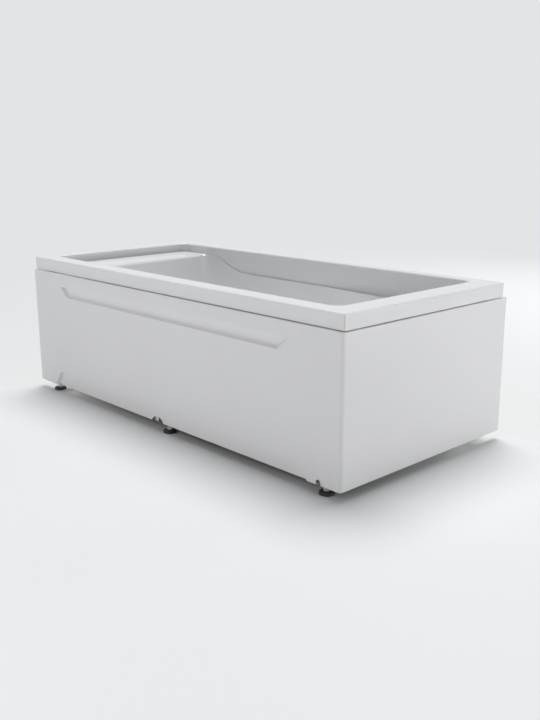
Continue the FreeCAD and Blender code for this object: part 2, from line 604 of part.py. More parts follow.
def panel_tabs():
    """Tabs on the posts, under the turned-in top edges of both panels."""
    z1 = PANEL_TOP - PANEL_SKIN
    half = POST_TUBE / 2
    front = FOOT_Y[0] - half
    tabs = [block(x - half, x + half, front - TAB_HOOK, front, z1 - STRIP, z1) for x in FOOT_X]
    reach = PANEL_END_FACE - PANEL_DEPTH + TAB_HOOK
    for y in FOOT_Y:
        tabs.append(block(FOOT_X[2] + half, reach, y - half, y + half, z1 - STRIP, z1))
    return Part.makeCompound(tabs)


def end_stays():
    """Angles from the last cross bar to the foot of the end panel."""
    x0 = FOOT_X[2] + FRAME_TUBE / 2
    x1 = PANEL_END_FACE - PANEL_SKIN
    profile = [(x0, BAR_TOP), (x1, BAR_TOP), (x1, BAR_TOP - STAY_HEIGHT), (x1 - STRIP, BAR_TOP - STAY_HEIGHT),
               (x1 - STRIP, BAR_TOP - STRIP), (x0, BAR_TOP - STRIP)]
    places = [FOOT_Y[0] + STAY_FROM_POST, FOOT_Y[1] - STAY_FROM_POST]
    return Part.makeCompound([strip_along_y(profile, y, BRACKET_WIDTH) for y in places])


def panel_brackets():
    """Bent strips from the front side rail down behind the toe recess."""
    face = PANEL_FACE + GROOVE_DEPTH + PANEL_SKIN
    back = FOOT_Y[0] + POST_TUBE / 2
    low = PANEL_BOTTOM
    turn = PANEL_BOTTOM + BRACKET_HEIGHT
    high = BAR_BOTTOM
    profile = [(face, low), (face + STRIP, low), (face + STRIP, turn - STRIP), (back, turn - STRIP),
               (back, high), (back - STRIP, high), (back - STRIP, turn), (face, turn)]
    brackets = []
    for notch_x in (END_NOTCH_X, NOTCH_X, ARCH_X):
        x = notch_x + BRACKET_OFFSET - BRACKET_WIDTH / 2
        points = [vec(x, y, z) for y, z in profile]
        strip = Part.Face(Part.makePolygon(points + points[:1])).extrude(vec(BRACKET_WIDTH, 0, 0))
        brackets.append(strip.cut(screw_shank(notch_x)))
    return Part.makeCompound(brackets)


def screw_shank(x):
    """Shank of a panel screw, behind its head."""
    place = vec(x, PANEL_INSIDE, PANEL_BOTTOM + SCREW_HEIGHT)
    return Part.makeCylinder(SCREW_RADIUS, SCREW_LENGTH, place, vec(0, 1, 0))


def panel_screws():
    """Screws seen in the middle notch and in the right arch."""
    screws = []
    for x in (NOTCH_X, ARCH_X):
        place = vec(x, PANEL_INSIDE, PANEL_BOTTOM + SCREW_HEIGHT)
        head = Part.makeCylinder(SCREW_HEAD_RADIUS, SCREW_HEAD_HEIGHT, place, vec(0, -1, 0))
        front = edges_where(head, lambda p: abs(p.y - (PANEL_INSIDE - SCREW_HEAD_HEIGHT)) < 0.01)
        head = head.makeChamfer(SCREW_HEAD_HEIGHT / 2, front)
        screws.append(head.fuse(screw_shank(x)))
    return Part.makeCompound(screws)


# ---- screw feet --------------------------------------------------------------
def foot_insert(x, y):
    """Threaded plug in the foot of a post."""
    half = POST_TUBE / 2 - FRAME_WALL
    plug = block(x - half, x + half, y - half, y + half, BAR_BOTTOM, BAR_BOTTOM + INSERT_LENGTH)
    return plug.cut(upright(x, y, BAR_BOTTOM, BAR_BOTTOM + INSERT_LENGTH, ROD_RADIUS + ROD_CLEARANCE))


def lock_nut(x, y):
    """Hexagon nut under a post."""
    nut = hexagon(x, y, BAR_BOTTOM - NUT_HEIGHT, BAR_BOTTOM, NUT_ACROSS_FLATS)
    return nut.cut(upright(x, y, BAR_BOTTOM - NUT_HEIGHT, BAR_BOTTOM, ROD_RADIUS + ROD_CLEARANCE))


def foot_bolt(x, y):
    """Threaded rod with the hexagon that turns it, seated in the pad."""
    rod = upright(x, y, PAD_HEIGHT - PAD_SOCKET, ROD_TOP, ROD_RADIUS)
    return rod.fuse(hexagon(x, y, PAD_HEIGHT, PAD_HEIGHT + NUT_HEIGHT, NUT_ACROSS_FLATS))


def foot_pad(x, y):
    """Rubber pad with a bevelled top edge and a seat for the bolt."""
    pad = upright(x, y, 0, PAD_HEIGHT, PAD_RADIUS)
    pad = pad.makeChamfer(PAD_BEVEL, edges_where(pad, lambda p: p.z > PAD_HEIGHT - 0.01))
    return pad.cut(upright(x, y, PAD_HEIGHT - PAD_SOCKET, PAD_HEIGHT, ROD_RADIUS))


# ---- waste and trap ----------------------------------------------------------
def ring(z0, z1, outer, inner):
    """Upright ring on the waste axis."""
    return upright(WASTE_X, BASIN_MID, z0, z1, outer).cut(upright(WASTE_X, BASIN_MID, z0 - 1, z1 + 1, inner))


def waste_flange():
    """Flange on the basin floor with its tail, and a spoked hub that guides the plug."""
    top = INNER_FLOOR + WASTE_FLANGE_HEIGHT
    flange = upright(WASTE_X, BASIN_MID, INNER_FLOOR, top, WASTE_FLANGE_RADIUS)
    flange = flange.makeChamfer(WASTE_FLANGE_HEIGHT / 2, edges_where(flange, lambda p: p.z > top - 0.01))
    tail_end = INNER_FLOOR - WASTE_TAIL
    flange = flange.fuse(upright(WASTE_X, BASIN_MID, tail_end, INNER_FLOOR, TAIL_RADIUS))
    flange = flange.cut(upright(WASTE_X, BASIN_MID, tail_end - 1, top + 1, WASTE_BORE_RADIUS))
    bore = PLUG_STEM_RADIUS + STEM_CLEARANCE
    grid = ring(tail_end, tail_end + SPOKE_HEIGHT, bore + HUB_WALL, bore)
    for step in range(3):
        spoke = block(WASTE_X + bore + HUB_WALL / 2, WASTE_X + WASTE_BORE_RADIUS + 1,
                      BASIN_MID - SPOKE_WIDTH / 2, BASIN_MID + SPOKE_WIDTH / 2, tail_end, tail_end + SPOKE_HEIGHT)
        spoke.rotate(vec(WASTE_X, BASIN_MID, 0), vec(0, 0, 1), 120 * step)
        grid = grid.fuse(spoke)
    return flange.fuse(grid)


def plug():
    """Disc plug with its stem."""
    bottom = INNER_FLOOR + WASTE_FLANGE_HEIGHT + RING_THICKNESS
    top = bottom + PLUG_HEIGHT
    cap = upright(WASTE_X, BASIN_MID, bottom, top, PLUG_RADIUS)
    cap = cap.makeChamfer(PLUG_HEIGHT / 2, edges_where(cap, lambda p: p.z > top - 0.01))
    return cap.fuse(upright(WASTE_X, BASIN_MID, bottom - PLUG_STEM_LENGTH, bottom, PLUG_STEM_RADIUS))


def plug_seal():
    """Rubber ring under the plug."""
    bottom = INNER_FLOOR + WASTE_FLANGE_HEIGHT
    return ring(bottom + RING_CLEARANCE, bottom + RING_THICKNESS, PLUG_RADIUS - SEAL_INSET, WASTE_BORE_RADIUS + SEAL_INSET)


def waste_body():
    """Housing under the floor: flange, side branch for the overflow, dip tube into the trap."""
    inner = WASTE_BODY_RADIUS - WASTE_BODY_WALL
    foot = TRAP_BOTTOM + TRAP_WALL + DIP_CLEARANCE
    body = upright(WASTE_X, BASIN_MID, foot, BODY_TOP, WASTE_BODY_RADIUS)
    body = body.fuse(upright(WASTE_X, BASIN_MID, BODY_TOP - WASTE_FLANGE_HEIGHT, BODY_TOP, WASTE_FLANGE_RADIUS))
    body = body.cut(upright(WASTE_X, BASIN_MID, foot - 1, BODY_TOP + 1, inner))
    branch = Part.makeCylinder(PIPE_RADIUS, 2 * WASTE_BODY_RADIUS, vec(WASTE_X, BASIN_MID, PIPE_Z), vec(1, 0, 0))
    return body.cut(branch)


def trap():
    """Bottle trap: cup round the dip tube, with its outlet pipe toward the back."""
    top = TRAP_BOTTOM + TRAP_HEIGHT
    cup = upright(WASTE_X, BASIN_MID, TRAP_BOTTOM, top, TRAP_RADIUS)
    cup = cup.makeChamfer(TRAP_BASE_BEVEL, edges_where(cup, lambda p: p.z < TRAP_BOTTOM + 0.01))
    outlet_start = vec(WASTE_X, BASIN_MID, OUTLET_Z)
    cup = cup.fuse(Part.makeCylinder(OUTLET_RADIUS, OUTLET_LENGTH, outlet_start, vec(0, 1, 0)))
    collar_end = TRAP_RADIUS + OUTLET_COLLAR_LENGTH
    cup = cup.fuse(Part.makeCylinder(OUTLET_COLLAR_RADIUS, collar_end, outlet_start, vec(0, 1, 0)))
    cup = cup.cut(Part.makeCylinder(OUTLET_RADIUS - OUTLET_WALL, OUTLET_LENGTH, outlet_start, vec(0, 1, 0)))
    cup = cup.cut(upright(WASTE_X, BASIN_MID, TRAP_BOTTOM + TRAP_WALL, top - TRAP_WALL, TRAP_RADIUS - TRAP_WALL))
    return cup.cut(upright(WASTE_X, BASIN_MID, top - 2 * TRAP_WALL, top, WASTE_BODY_RADIUS + RING_CLEARANCE))


# ---- overflow ----------------------------------------------------------------
def across(x0, x1, radius):
    """Cylinder on the overflow axis."""
    return Part.makeCylinder(radius, x1 - x0, vec(x0, BASIN_MID, OVERFLOW_Z), vec(1, 0, 0))


def beyond_wall(offset):
    """Block that fills everything past the sloping end wall, moved out by offset."""
    x_top = BASIN_RIGHT + offset
    x_low = x_top - drop_inset(ARMREST_DROP, UPPER_DRAFT)
    profile = [(x_low, ARMREST_Z), (x_top, RIM_TOP), (RIM_RIGHT + RIGHT_RIM, RIM_TOP),
               (RIM_RIGHT + RIGHT_RIM, ARMREST_Z)]
    return strip_along_y(profile, BASIN_MID, FRONT_RIM * 2)


def overflow_seal():
    """Wedge ring between the plate and the sloping wall."""
    seal = across(PLATE_BACK, BASIN_RIGHT, OVERFLOW_PLATE_RADIUS - SEAL_INSET)
    seal = seal.cut(across(PLATE_BACK - 1, BASIN_RIGHT + 1, OVERFLOW_HOLE_RADIUS))
    return seal.cut(beyond_wall(0))


def overflow_gasket():
    """Wedge ring between the sloping wall and the elbow."""
    gasket = across(BASIN_RIGHT - SKIN, ELBOW_FACE, OVERFLOW_PLATE_RADIUS)
    gasket = gasket.cut(across(BASIN_RIGHT - SKIN - 1, ELBOW_FACE + 1, OVERFLOW_HOLE_RADIUS))
    return gasket.common(beyond_wall(SKIN))


def overflow_plate():
    """Plate inside the basin with overflow holes, a shaft bore and a tail through the wall."""
    front = PLATE_BACK - OVERFLOW_PLATE_THICKNESS
    plate = across(front, PLATE_BACK, OVERFLOW_PLATE_RADIUS)
    plate = plate.makeChamfer(PLATE_BEVEL, edges_where(plate, lambda p: p.x < front + 0.01))
    tail_radius = OVERFLOW_HOLE_RADIUS - RING_CLEARANCE
    tail = across(PLATE_BACK, ELBOW_FACE + OVERFLOW_PLATE_THICKNESS, tail_radius)
    tail = tail.cut(across(PLATE_BACK, ELBOW_FACE + OVERFLOW_PLATE_THICKNESS, tail_radius - OVERFLOW_TAIL_WALL))
    plate = plate.fuse(tail).cut(across(front - 1, PLATE_BACK + 1, KNOB_SHAFT_RADIUS + STEM_CLEARANCE))
    for step in range(SLOT_COUNT):
        hole = Part.makeCylinder(SLOT_RADIUS, OVERFLOW_PLATE_THICKNESS + 2,
                                 vec(front - 1, BASIN_MID, OVERFLOW_Z + SLOT_PITCH_RADIUS), vec(1, 0, 0))
        hole.rotate(vec(front, BASIN_MID, OVERFLOW_Z), vec(1, 0, 0), 360 / SLOT_COUNT * step)
        plate = plate.cut(hole)
    return plate


def overflow_knob():
    """Turning cover with a grip bar and its shaft."""
    front = PLATE_BACK - OVERFLOW_PLATE_THICKNESS - KNOB_GAP - KNOB_THICKNESS
    knob = across(front, front + KNOB_THICKNESS, KNOB_RADIUS)
    knob = knob.makeChamfer(KNOB_THICKNESS / 4, edges_where(knob, lambda p: p.x < front + 0.01))
    half = math.sqrt(KNOB_RADIUS ** 2 - (KNOB_GRIP_WIDTH / 2) ** 2) - KNOB_THICKNESS / 4
    grip = block(front - KNOB_GRIP_HEIGHT, front + KNOB_THICKNESS / 2,
                 BASIN_MID - KNOB_GRIP_WIDTH / 2, BASIN_MID + KNOB_GRIP_WIDTH / 2, OVERFLOW_Z - half, OVERFLOW_Z + half)
    grip_front = edges_where(grip, lambda p: p.x < front - KNOB_GRIP_HEIGHT + 0.01)
    grip = grip.makeChamfer(KNOB_GRIP_WIDTH / 4, grip_front)
    return knob.fuse(grip).fuse(across(front, PLATE_BACK + OVERFLOW_PLATE_THICKNESS, KNOB_SHAFT_RADIUS))


def overflow_elbow():
    """Closed housing behind the wall with a socket for the pipe."""
    back = ELBOW_FACE + ELBOW_DEPTH
    bore = OVERFLOW_HOLE_RADIUS
    socket_bottom = OVERFLOW_Z - OVERFLOW_PLATE_RADIUS
    body = across(ELBOW_FACE, ELBOW_FACE + OVERFLOW_PLATE_THICKNESS, OVERFLOW_PLATE_RADIUS)
    body = body.fuse(across(ELBOW_FACE, back, bore + ELBOW_WALL))
    body = body.fuse(upright(PIPE_X, BASIN_MID, socket_bottom, OVERFLOW_Z, PIPE_RADIUS + ELBOW_WALL))
    body = body.cut(across(ELBOW_FACE - 1, back - ELBOW_WALL, bore))
    return body.cut(upright(PIPE_X, BASIN_MID, socket_bottom - 1, OVERFLOW_Z, PIPE_RADIUS))


def pipe_run(radius):
    """Solid run from the elbow down behind the end wall and along to the waste body."""
    bend = PIPE_BEND_RADIUS
    top_z = OVERFLOW_Z - OVERFLOW_PLATE_RADIUS + PIPE_SOCKET
    bend_centre = vec(PIPE_X - bend, BASIN_MID, PIPE_Z + bend)
    foot_x = WASTE_X + WASTE_BODY_RADIUS - WASTE_BODY_WALL / 2
    section = Part.Face(Part.Wire([Part.makeCircle(radius, vec(PIPE_X, BASIN_MID, PIPE_Z + bend), vec(0, 0, 1))]))
    elbow = section.revolve(bend_centre, vec(0, 1, 0), 90)
    level = Part.makeCylinder(radius, PIPE_X - bend - foot_x, vec(foot_x, BASIN_MID, PIPE_Z), vec(1, 0, 0))
    return upright(PIPE_X, BASIN_MID, PIPE_Z + bend, top_z, radius).multiFuse([elbow, level])


def overflow_pipe():
    """Pipe between the overflow elbow and the waste body."""
    return pipe_run(PIPE_RADIUS).cut(pipe_run(PIPE_RADIUS - PIPE_WALL))


# ---- all pieces --------------------------------------------------------------
def all_pieces():
    """Every piece by its name."""
    trap_top = TRAP_BOTTOM + TRAP_HEIGHT
    pieces = {
        "tub_shell": tub_shell(),
        "front_panel": front_panel(),
        "end_panel": end_panel(),
        "base_board": base_board(),
        "frame_posts": at_feet(post),
        "frame_cross_bars": cross_bars(),
        "frame_long_rails": long_rails(),
        "frame_side_rails": side_rails(),
        "rim_rails": rim_rails(),
        "panel_tabs": panel_tabs(),
        "panel_brackets": panel_brackets(),
        "end_stays": end_stays(),
        "panel_screws": panel_screws(),
        "foot_inserts": at_feet(foot_insert),
        "lock_nuts": at_feet(lock_nut),
        "waste_flange": waste_flange(),
        "waste_gasket": ring(BODY_TOP, UNDERSIDE, WASTE_FLANGE_RADIUS, WASTE_HOLE_RADIUS),
        "waste_body": waste_body(),
        "plug": plug(),
        "plug_seal": plug_seal(),
        "trap": trap(),
        "trap_nut": ring(trap_top, trap_top + TRAP_NUT_HEIGHT, TRAP_NUT_RADIUS, WASTE_BODY_RADIUS),
        "overflow_plate": overflow_plate(),
        "overflow_seal": overflow_seal(),
        "overflow_gasket": overflow_gasket(),
        "overflow_elbow": overflow_elbow(),
        "overflow_pipe": overflow_pipe(),
        "overflow_knob": overflow_knob(),
    }
    for column, x in zip(("left", "middle", "right"), FOOT_X):
        for row, y in zip(("front", "back"), FOOT_Y):
            pieces["foot_bolt_" + column + "_" + row] = foot_bolt(x, y)
            pieces["foot_pad_" + column + "_" + row] = foot_pad(x, y)
    return pieces


os.makedirs("parts", exist_ok=True)
for name, shape in all_pieces().items():
    shape.exportStep("parts/" + name + ".step")
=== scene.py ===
import math

import bmesh
import bpy
from bpy.props import FloatProperty, FloatVectorProperty, IntProperty, PointerProperty
from mathutils import Matrix, Vector


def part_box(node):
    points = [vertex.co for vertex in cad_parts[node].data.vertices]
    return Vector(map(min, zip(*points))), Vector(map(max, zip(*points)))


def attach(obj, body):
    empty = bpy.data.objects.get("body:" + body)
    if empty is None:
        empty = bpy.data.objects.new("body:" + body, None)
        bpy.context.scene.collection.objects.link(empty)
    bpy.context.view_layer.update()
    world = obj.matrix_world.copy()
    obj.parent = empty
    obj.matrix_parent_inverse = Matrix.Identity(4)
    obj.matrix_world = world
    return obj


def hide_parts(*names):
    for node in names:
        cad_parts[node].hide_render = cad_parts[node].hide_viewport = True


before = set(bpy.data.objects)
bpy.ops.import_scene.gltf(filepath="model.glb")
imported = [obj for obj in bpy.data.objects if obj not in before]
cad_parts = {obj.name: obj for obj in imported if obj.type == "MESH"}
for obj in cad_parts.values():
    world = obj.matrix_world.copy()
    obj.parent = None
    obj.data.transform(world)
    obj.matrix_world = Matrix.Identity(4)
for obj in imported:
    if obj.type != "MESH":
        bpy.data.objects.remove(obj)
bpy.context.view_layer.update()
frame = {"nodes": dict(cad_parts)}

bl_info = {
    "name": "Built-in Bath Finisher",
    "version": (1, 1, 0),
    "blender": (4, 5, 0),
    "location": "3D View > Sidebar > Bath",
    "description": "Dresses the framed bath: acrylic, panels, frame, screw feet, waste and stage",
    "category": "Object",
}

MM = 0.001
# points of the frame's meshes that lie closer together than this are one corner
SAME_POINT = 0.002 * MM
FEET = [(column, row) for column in ("left", "middle", "right") for row in ("front", "back")]
TUBES = ("frame_posts", "frame_cross_bars", "frame_long_rails", "frame_side_rails", "rim_rails")

# millimetres, as in the frame's own solids
POST_SIZE = 20.0
POST_HALF = POST_SIZE / 2
BAR_SIZE = 25.0
ROD_RADIUS = 6.0
ROD_CLEARANCE = 0.3
NUT_HEIGHT = 10.0
SCREW_HEAD_RADIUS = 6.0

# millimetres: shorter edges stay sharp, as they are the facets of a round form
LEAST_PANEL_EDGE = 0.4
LEAST_FITTING_EDGE = 0.5
LEAST_STRIP_EDGE = 4.0
LEAST_BOARD_EDGE = 10.0
LEAST_TUBE_EDGE = 60.0

# facets of a rounded edge
FINE_EDGE = 3
PLAIN_EDGE = 2

# a softbox: name, place, point that it faces, width, height (metres), watts, shown in gloss or not
SOFTBOXES = (
    ("right box", (3.5, 1.5, 0.4), (0.85, 0.1, 0.3), 2.4, 0.6, 29.0, True),
    ("front box", (-0.05, -3.2, 0.28), (-0.05, -0.4, 0.28), 2.8, 0.5, 11.0, True),
    ("high front box", (-0.3, -2.7, 2.0), (-0.1, -0.4, 0.2), 2.4, 0.8, 9.0, False),
    ("back box", (0.4, 4.6, 2.0), (0.0, 0.3, 0.4), 4.0, 2.0, 52.0, False),
)


# ---- colour and material helpers ---------------------------------------------
def linear(hex_colour):
    """Linear RGB from an sRGB hex colour."""
    channels = [int(hex_colour[i:i + 2], 16) / 255 for i in (1, 3, 5)]
    return tuple(c / 12.92 if c <= 0.04045 else ((c + 0.055) / 1.055) ** 2.4 for c in channels)


def per_metre(size_mm):
    """Scale of a pattern whose grains are size_mm across."""
    return 1 / (size_mm * MM)


def add_node(tree, kind, values=None, **settings):
    """A shader node with its settings; values are numbers or links, by a socket's name or place."""
    node = tree.nodes.new(kind)
    for key, value in settings.items():
        setattr(node, key, value)
    for key, value in (values or {}).items():
        socket = node.inputs[key]
        if isinstance(value, bpy.types.NodeSocket):
            tree.links.new(value, socket)
        else:
            socket.default_value = value
    return node


def new_material(name, **surface):
    """Material with a Principled surface; returns it with its tree, surface and coordinates."""
    material = bpy.data.materials.new(name)
    material.use_nodes = True
    tree = material.node_tree
    tree.nodes.clear()
    shader = add_node(tree, "ShaderNodeBsdfPrincipled", surface)
    add_node(tree, "ShaderNodeOutputMaterial", {"Surface": shader.outputs["BSDF"]})
    place = add_node(tree, "ShaderNodeTexCoord").outputs["Object"]
    return material, tree, shader, place


def cover(tree, shader, pattern, colour, darkest, roughness=None, height=None, depth_mm=0.0):
    """Surface that follows a 0..1 pattern.

    Its tone runs from darkest times the colour to the colour itself, and its roughness between
    the two ends given. A height of 0..1 gives it a relief that is depth_mm deep.
    """
    ranges = [(0.0, 1.0)] if roughness is None else [(0.0, 1.0), roughness]
    # noise seldom leaves 0.25..0.75, and the easing hides the outline where it does
    levels = [add_node(tree, "ShaderNodeMapRange",
                       {"Value": pattern, "From Min": 0.25, "From Max": 0.75,
                        "To Min": low, "To Max": high},
                       interpolation_type="SMOOTHERSTEP").outputs["Result"]
              for low, high in ranges]
    # a colour mix has its factor at place 0, its colours at 6 and 7, and its result at 2
    shade = (*(channel * darkest for channel in colour), 1.0)
    mix = add_node(tree, "ShaderNodeMix", {0: levels[0], 6: shade, 7: (*colour, 1.0)},
                   data_type="RGBA")
    tree.links.new(mix.outputs[2], shader.inputs["Base Color"])
    if roughness is not None:
        tree.links.new(levels[1], shader.inputs["Roughness"])
    if height is not None:
        relief = add_node(tree, "ShaderNodeBump",
                          {"Height": height, "Distance": depth_mm * MM, "Strength": 1.0})
        tree.links.new(relief.outputs["Normal"], shader.inputs["Normal"])


# ---- finishes ----------------------------------------------------------------
def bath_acrylic(colours):
    """Cast acrylic, vacuum-formed: deep gloss, a touch softer where the sheet was drawn thinner."""
    material, tree, shader, place = new_material("cast acrylic, vacuum-formed gloss", IOR=1.49)
    tint = add_node(tree, "ShaderNodeTexNoise",
                    {"Vector": place, "Scale": per_metre(420), "Detail": 2.0, "Roughness": 0.5})
    cover(tree, shader, tint.outputs["Fac"], colours.acrylic, 0.985, (0.11, 0.15))
    return material


def panel_acrylic(colours):
    """Acrylic-capped ABS, vacuum-formed: softer gloss than the bath, slightly warmer white."""
    material, tree, shader, place = new_material("acrylic-capped ABS, vacuum-formed satin", IOR=1.5)
    tint = add_node(tree, "ShaderNodeTexNoise",
                    {"Vector": place, "Scale": per_metre(500), "Detail": 2.0, "Roughness": 0.5})
    cover(tree, shader, tint.outputs["Fac"], colours.panel, 0.985, (0.21, 0.26))
    return material


def glass_fibre(colours):
    """Polyester and chopped glass, rolled on by hand: cream and lumpy, its strands showing."""
    material, tree, shader, place = new_material("polyester and chopped glass, rolled on", IOR=1.55)
    cloud = add_node(tree, "ShaderNodeTexNoise",
                     {"Vector": place, "Scale": per_metre(38), "Detail": 5.0, "Roughness": 0.62})
    strands = add_node(tree, "ShaderNodeTexVoronoi", {"Vector": place, "Scale": per_metre(14)},
                       feature="DISTANCE_TO_EDGE")
    lumps = add_node(tree, "ShaderNodeMath",
                     {0: strands.outputs["Distance"], 1: cloud.outputs["Fac"]}, operation="ADD")
    cover(tree, shader, cloud.outputs["Fac"], colours.backing, 0.86, (0.42, 0.62),
          lumps.outputs["Value"], 0.5)
    return material


def powder_coat(colours):
    """Polyester powder coat on steel tube: even grey with the fine orange peel of baked powder."""
    material, tree, shader, place = new_material("powder-coated steel, light grey", IOR=1.5)
    cloud = add_node(tree, "ShaderNodeTexNoise",
                     {"Vector": place, "Scale": per_metre(60), "Detail": 3.0, "Roughness": 0.5})
    # real peel cells are about 1 mm; 3 mm is the finest that a render shows
    peel = add_node(tree, "ShaderNodeTexNoise",
                    {"Vector": place, "Scale": per_metre(3), "Detail": 1.0, "Roughness": 0.5})
    cover(tree, shader, cloud.outputs["Fac"], colours.frame, 0.93, (0.40, 0.50),
          peel.outputs["Fac"], 0.05)
    return material


def zinc(colours):
    """Electroplated zinc: bright bluish metal under a soft passivated haze."""
    material, tree, shader, place = new_material("zinc-plated steel, bright", Metallic=1.0)
    haze = add_node(tree, "ShaderNodeTexNoise",
                    {"Vector": place, "Scale": per_metre(9), "Detail": 4.0, "Roughness": 0.5})
    cover(tree, shader, haze.outputs["Fac"], colours.zinc, 0.88, (0.29, 0.38))
    return material


def moulded_rubber(colours):
    """Moulded rubber: near black, dulled by a fine bloom of dust."""
    material, tree, shader, place = new_material("moulded rubber, black", IOR=1.52)
    dust = add_node(tree, "ShaderNodeTexNoise",
                    {"Vector": place, "Scale": per_metre(6), "Detail": 5.0, "Roughness": 0.6})
    cover(tree, shader, dust.outputs["Fac"], colours.rubber, 0.6, (0.60, 0.78),
          dust.outputs["Fac"], 0.06)
    return material


def insert_nylon(colours):
    """Nylon, injection-moulded: black with a dry, even sheen."""
    material, tree, shader, place = new_material("nylon, moulded black", IOR=1.53)
    cloud = add_node(tree, "ShaderNodeTexNoise",
                     {"Vector": place, "Scale": per_metre(12), "Detail": 3.0, "Roughness": 0.5})
    cover(tree, shader, cloud.outputs["Fac"], colours.insert, 0.8, (0.44, 0.56))
    return material


def chipboard(colours):
    """Raw chipboard: pressed wood flakes from straw to brown, quite matt."""
    material, tree, shader, place = new_material("chipboard, raw", IOR=1.45, Roughness=0.85)
    flakes = add_node(tree, "ShaderNodeTexVoronoi", {"Vector": place, "Scale": per_metre(5)})
    tone = add_node(tree, "ShaderNodeSeparateColor", {"Color": flakes.outputs["Color"]})
    cover(tree, shader, tone.outputs["Red"], colours.board, 0.62,
          height=flakes.outputs["Distance"], depth_mm=0.15)
    return material


def chrome(colours):
    """Chrome on brass: near-mirror metal, with the faint cloud that polishing leaves."""
    material, tree, shader, place = new_material("chrome-plated brass, polished", Metallic=1.0)
    marks = add_node(tree, "ShaderNodeTexNoise",
                     {"Vector": place, "Scale": per_metre(14), "Detail": 4.0, "Roughness": 0.5})
    cover(tree, shader, marks.outputs["Fac"], colours.chrome, 0.96, (0.05, 0.09))
    return material


def drain_plastic(colours):
    """Polypropylene, injection-moulded: waxy white with a soft, broad shine."""
    material, tree, shader, place = new_material("polypropylene, moulded white", IOR=1.49)
    cloud = add_node(tree, "ShaderNodeTexNoise",
                     {"Vector": place, "Scale": per_metre(40), "Detail": 3.0, "Roughness": 0.5})
    cover(tree, shader, cloud.outputs["Fac"], colours.drain, 0.95, (0.36, 0.44))
    return material


FINISHES = {}


def finish(maker):
    """The material of a finish, made once."""
    if maker not in FINISHES:
        FINISHES[maker] = maker(bpy.context.scene.bath_colours)
    return FINISHES[maker]


def dress(nodes, maker):
    """Gives CAD nodes a finish."""
    for node in nodes:
        for material_slot in frame["nodes"][node].material_slots:
            material_slot.material = finish(maker)


# ---- mesh helpers ------------------------------------------------------------
def add_piece(name, bm, makers, body, nodes=(), sharp_degrees=34.0):
    """Finished piece from a bmesh, riding on its body, in place of the named CAD nodes."""
    bm.normal_update()
    mesh = bpy.data.meshes.new(name)
    bm.to_mesh(mesh)
    bm.free()
    for maker in makers:
        mesh.materials.append(finish(maker))
    mesh.shade_smooth()
    mesh.set_sharp_from_angle(angle=math.radians(sharp_degrees))
    piece = bpy.data.objects.new(name, mesh)
    bpy.context.scene.collection.objects.link(piece)
    weighted = piece.modifiers.new("weighted normals", "WEIGHTED_NORMAL")
    weighted.keep_sharp = True
    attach(piece, body)
    if nodes:
        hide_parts(*nodes)


def joined_copy(node):
    """Bmesh of a CAD node with its loose triangles joined."""
    bm = bmesh.new()
    bm.from_mesh(frame["nodes"][node].data)
    bmesh.ops.remove_doubles(bm, verts=bm.verts, dist=SAME_POINT)
    return bm


def ease_edges(bm, width_mm, least_length_mm, segments):
    """Rounds the outer edges that are long enough."""
    least_turn = math.radians(35)
    edges = [edge for edge in bm.edges
             if edge.is_manifold and edge.is_convex and edge.calc_face_angle() > least_turn
             and edge.calc_length() > least_length_mm * MM]
    bmesh.ops.bevel(bm, geom=edges, offset=width_mm * MM, offset_type="OFFSET",
                    segments=segments, profile=0.5, affect="EDGES", clamp_overlap=True,
                    material=-1)


def eased_node(node, width_mm, least_length_mm, maker, body, segments=PLAIN_EDGE):
    """Piece that takes a CAD node's place, with its flat faces whole and its edges rounded."""
    bm = joined_copy(node)
    flat = math.radians(0.3)
    bmesh.ops.dissolve_limit(bm, angle_limit=flat, verts=bm.verts, edges=bm.edges)
    ease_edges(bm, width_mm, least_length_mm, segments)
    add_piece(node + "_eased", bm, [maker], body, [node])


def lathe(bm, outline, centre, axis, steps):
    """Form turned about an axis along Y or Z, from (radius, height) points; returns its vertices.

    The points and the centre are in mm.
    """
    origin, direction, start = Vector(centre), Vector(axis), Vector((1, 0, 0))
    before = set(bm.verts)
    ring = [bm.verts.new((origin + start * radius + direction * height) * MM)
            for radius, height in outline]
    edges = [bm.edges.new(pair) for pair in zip(ring, ring[1:])]
    bmesh.ops.spin(bm, geom=ring + edges, cent=origin * MM, axis=direction, angle=math.tau,
                   steps=steps, use_merge=True)
    bmesh.ops.remove_doubles(bm, verts=[vert for vert in bm.verts if vert not in before],
                             dist=SAME_POINT)
    bmesh.ops.recalc_face_normals(bm, faces=[face for face in bm.faces
                                             if face.verts[0] not in before])
    return [vert for vert in bm.verts if vert not in before]


def hex_nut(bm, x, y, z0, z1, across_flats, bore):
    """Hexagon round a bore or solid, its corners turned off by a cone at both ends, in mm."""
    one_side, cone_slope = math.radians(60), math.radians(30)
    corner = across_flats / math.sqrt(3)
    # radius of the flat ring left at each end
    land = 0.475 * across_flats
    outline = [(bore, z0), (land, z0), (corner, z0), (corner, z1), (land, z1), (bore, z1)]
    if bore:
        outline.append(outline[0])
    centre = Vector((x, y))
    for vert in lathe(bm, outline, (x, y, 0), (0, 0, 1), 48):
        spoke = vert.co.xy / MM - centre
        if spoke.length > land + 0.01:
            past_corner = math.atan2(spoke.y, spoke.x) % one_side
            reach = across_flats / 2 / math.cos(past_corner - one_side / 2)
            fall = (reach - land) * math.tan(cone_slope)
            height = vert.co.z / MM
            level = z0 + fall if height < (z0 + z1) / 2 else z1 - fall
            vert.co = Vector((*(centre + spoke.normalized() * reach), level)) * MM


